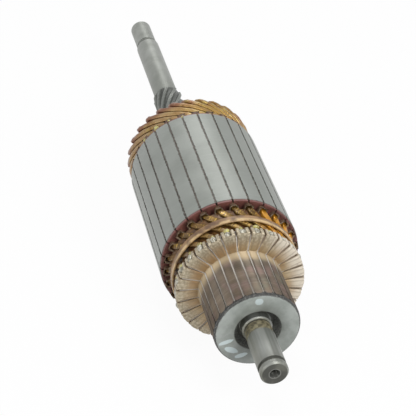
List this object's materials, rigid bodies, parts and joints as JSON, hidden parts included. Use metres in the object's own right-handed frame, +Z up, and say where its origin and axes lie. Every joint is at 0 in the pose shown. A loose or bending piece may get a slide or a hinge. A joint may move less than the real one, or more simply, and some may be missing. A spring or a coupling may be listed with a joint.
{
  "type": "motor armature",
  "caption": "Hairpin-wound armature of a small direct-current motor: slotted core, moulded commutator and a shaft with a helical spline.",
  "frame": {"origin": "on the shaft axis, at the middle of the commutator-end journal", "axes": "+Y along the shaft from the commutator end towards the drive end, +Z up, +X to the right seen from the commutator end"},
  "size_m": [0.0616, 0.292, 0.0616],
  "materials": {
    "shaft_steel": "turned steel, matt grey with a light oil film",
    "core_steel": "ground lamination stack, satin grey",
    "fibre": "maroon vulcanised fibre under varnish",
    "liner_paper": "varnished insulation paper",
    "moulding": "dark grey phenolic, turned face",
    "banding_cord": "varnished glass cord",
    "enamelled_copper": "varnished copper, golden brown",
    "bar_copper": "worn copper with a grey-brown film, tinned risers"
  },
  "bodies": {
    "root": {"shaft": "shaft_steel", "core_laminations": "core_steel", "end_insulators": "fibre", "slot_liners": "liner_paper", "commutator_moulding": "moulding", "front_banding": "banding_cord", "hairpin_01": "enamelled_copper", "hairpin_02": "enamelled_copper", "hairpin_03": "enamelled_copper", "hairpin_04": "enamelled_copper", "hairpin_05": "enamelled_copper", "hairpin_06": "enamelled_copper", "hairpin_07": "enamelled_copper", "hairpin_08": "enamelled_copper", "hairpin_09": "enamelled_copper", "hairpin_10": "enamelled_copper", "hairpin_11": "enamelled_copper", "hairpin_12": "enamelled_copper", "hairpin_13": "enamelled_copper", "hairpin_14": "enamelled_copper", "hairpin_15": "enamelled_copper", "hairpin_16": "enamelled_copper", "hairpin_17": "enamelled_copper", "hairpin_18": "enamelled_copper", "hairpin_19": "enamelled_copper", "hairpin_20": "enamelled_copper", "hairpin_21": "enamelled_copper", "hairpin_22": "enamelled_copper", "hairpin_23": "enamelled_copper", "hairpin_24": "enamelled_copper", "hairpin_25": "enamelled_copper", "hairpin_26": "enamelled_copper", "hairpin_27": "enamelled_copper", "commutator_bar_01": "bar_copper", "commutator_bar_02": "bar_copper", "commutator_bar_03": "bar_copper", "commutator_bar_04": "bar_copper", "commutator_bar_05": "bar_copper", "commutator_bar_06": "bar_copper", "commutator_bar_07": "bar_copper", "commutator_bar_08": "bar_copper", "commutator_bar_09": "bar_copper", "commutator_bar_10": "bar_copper", "commutator_bar_11": "bar_copper", "commutator_bar_12": "bar_copper", "commutator_bar_13": "bar_copper", "commutator_bar_14": "bar_copper", "commutator_bar_15": "bar_copper", "commutator_bar_16": "bar_copper", "commutator_bar_17": "bar_copper", "commutator_bar_18": "bar_copper", "commutator_bar_19": "bar_copper", "commutator_bar_20": "bar_copper", "commutator_bar_21": "bar_copper", "commutator_bar_22": "bar_copper", "commutator_bar_23": "bar_copper", "commutator_bar_24": "bar_copper", "commutator_bar_25": "bar_copper", "commutator_bar_26": "bar_copper", "commutator_bar_27": "bar_copper"}
  },
  "joints": []
}
